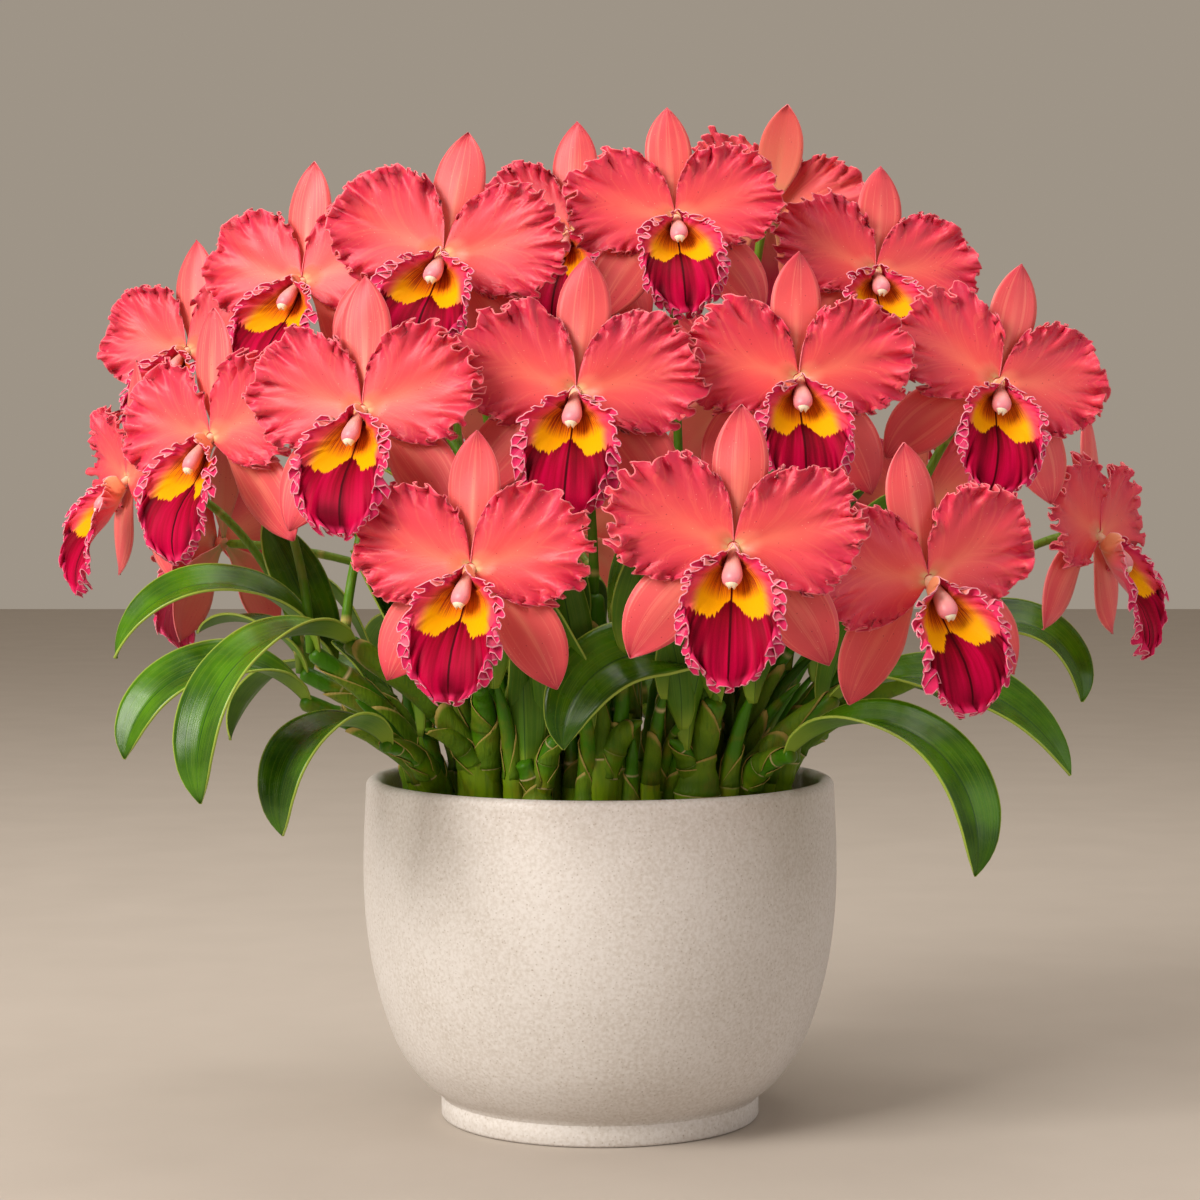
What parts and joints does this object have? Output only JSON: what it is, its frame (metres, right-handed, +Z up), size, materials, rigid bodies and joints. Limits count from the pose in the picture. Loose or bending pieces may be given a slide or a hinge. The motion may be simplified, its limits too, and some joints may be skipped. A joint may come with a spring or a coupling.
{
  "type": "potted cattleya orchid",
  "caption": "Cattleya orchid in full coral-red bloom, with crimson ruffled lips and leathery leaves, growing from bark in a round speckled stoneware pot; stands upright as a decorative plant.",
  "frame": {"origin": "centre of the underside of the pot's foot, on the surface the pot stands on", "axes": "+Z up along the pot's axis, -Y towards the side the blooms face most, +X to the viewer's right there"},
  "size_m": [0.6108, 0.4741, 0.5582],
  "materials": {
    "stoneware": "satin matte, warm off-white with fine brown specks",
    "bark": "rough pine bark chips, dull",
    "green_growth": "leathery leaf and cane, satin",
    "petal": "soft petal, fine crystalline sheen",
    "lip": "velvety ruffled lip with a golden throat"
  },
  "bodies": {
    "root": {"pot": "stoneware", "bark": "bark", "growth_01": "green_growth", "growth_02": "green_growth", "growth_03": "green_growth", "growth_04": "green_growth", "growth_05": "green_growth", "growth_06": "green_growth", "growth_07": "green_growth", "growth_08": "green_growth", "growth_09": "green_growth", "growth_10": "green_growth", "growth_11": "green_growth", "growth_12": "green_growth", "growth_13": "green_growth", "growth_14": "green_growth", "bloom_01": "petal", "bloom_02": "petal", "bloom_03": "petal", "bloom_04": "petal", "bloom_05": "petal", "bloom_06": "petal", "bloom_07": "petal", "bloom_08": "petal", "bloom_09": "petal", "bloom_10": "petal", "bloom_11": "petal", "bloom_12": "petal", "bloom_13": "petal", "bloom_14": "petal", "bloom_15": "petal", "bloom_16": "petal", "bloom_17": "petal", "bloom_18": "petal", "bloom_19": "petal", "bloom_20": "petal", "bloom_21": "petal", "bloom_22": "petal", "lip_01": "lip", "lip_02": "lip", "lip_03": "lip", "lip_04": "lip", "lip_05": "lip", "lip_06": "lip", "lip_07": "lip", "lip_08": "lip", "lip_09": "lip", "lip_10": "lip", "lip_11": "lip", "lip_12": "lip", "lip_13": "lip", "lip_14": "lip", "lip_15": "lip", "lip_16": "lip", "lip_17": "lip", "lip_18": "lip", "lip_19": "lip", "lip_20": "lip", "lip_21": "lip", "lip_22": "lip"}
  },
  "joints": []
}
